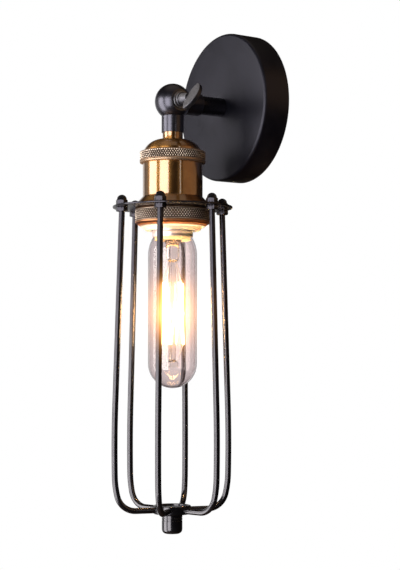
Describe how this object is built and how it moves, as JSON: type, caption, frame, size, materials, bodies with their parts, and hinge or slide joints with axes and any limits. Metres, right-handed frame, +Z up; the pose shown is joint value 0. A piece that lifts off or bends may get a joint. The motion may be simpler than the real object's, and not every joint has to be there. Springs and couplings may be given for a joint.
{
  "type": "cage wall light",
  "caption": "Wall light on a round plate: a short arm with a tilting knuckle holds a brass lamp holder, and a cage of bent rods hangs round its long tubular bulb.",
  "frame": {"origin": "centre of the wall plate's back, on the wall", "axes": "+Y into the wall, +Z up, so the light stands out along -Y and the wing screw points to +X"},
  "size_m": [0.1, 0.0996, 0.3382],
  "materials": {
    "black_paint": "satin",
    "zinc": "zinc plated",
    "brass": "satin, turned",
    "aged_brass": "antique, knurled",
    "contact_brass": "plain",
    "porcelain": "glazed",
    "nickel": "nickel plated",
    "solder": "matt",
    "black_glass": "opaque black",
    "clear_glass": "clear",
    "support_wire": "bright",
    "hot_filament": "glowing",
    "fibre": "matt"
  },
  "bodies": {
    "wall_side": {"wall_plate": "black_paint", "wall_bracket": "zinc", "grub_screws": "zinc", "earth_screw": "contact_brass", "arm_tube": "black_paint", "arm_pipe": "zinc", "lock_washer": "zinc", "lock_nut": "zinc", "knuckle_arm_half": "black_paint", "friction_washer": "fibre", "spring_washer": "zinc"},
    "lamp": {"knuckle_stem_half": "black_paint", "stem_pipe": "zinc", "dome_cap": "brass", "upper_ring": "aged_brass", "barrel": "brass", "socket_core": "porcelain", "screw_shell": "nickel", "centre_contact": "contact_brass", "terminal_screws": "contact_brass", "cage_plate": "black_paint", "cage_rod_1": "black_paint", "cage_rod_2": "black_paint", "cage_rod_3": "black_paint", "cage_rod_4": "black_paint", "cage_rod_5": "black_paint", "cage_rod_6": "black_paint", "dome_nuts": "black_paint", "plate_nuts": "black_paint", "cage_hub": "black_paint", "finial": "black_paint", "stud_nut": "black_paint"},
    "wing": {"wing_screw": "black_paint"},
    "clamp_ring": {"lower_ring": "aged_brass"},
    "bulb": {"bulb_cap": "nickel", "bulb_insulator": "black_glass", "bulb_contact": "solder", "bulb_glass": "clear_glass", "bulb_stem": "clear_glass", "bulb_supports": "support_wire", "bulb_filament": "hot_filament"}
  },
  "joints": [
    {"name": "knuckle_tilt", "type": "hinge", "parent": "wall_side", "child": "lamp", "pos_m": [0, -0.0595, 0], "axis": [-1, 0, 0], "range_deg": [-4, 184]},
    {"name": "wing_screw_turn", "type": "hinge", "parent": "wall_side", "child": "wing", "pos_m": [0.01, -0.0595, 0], "axis": [1, 0, 0], "range_deg": [0, 360]},
    {"name": "clamp_ring_turn", "type": "hinge", "parent": "lamp", "child": "clamp_ring", "pos_m": [0, -0.0595, -0.076], "axis": [0, 0, -1], "range_deg": [0, 360]},
    {"name": "bulb_turn", "type": "hinge", "parent": "lamp", "child": "bulb", "pos_m": [0, -0.0595, -0.09], "axis": [0, 0, -1], "range_deg": [0, 360]}
  ]
}
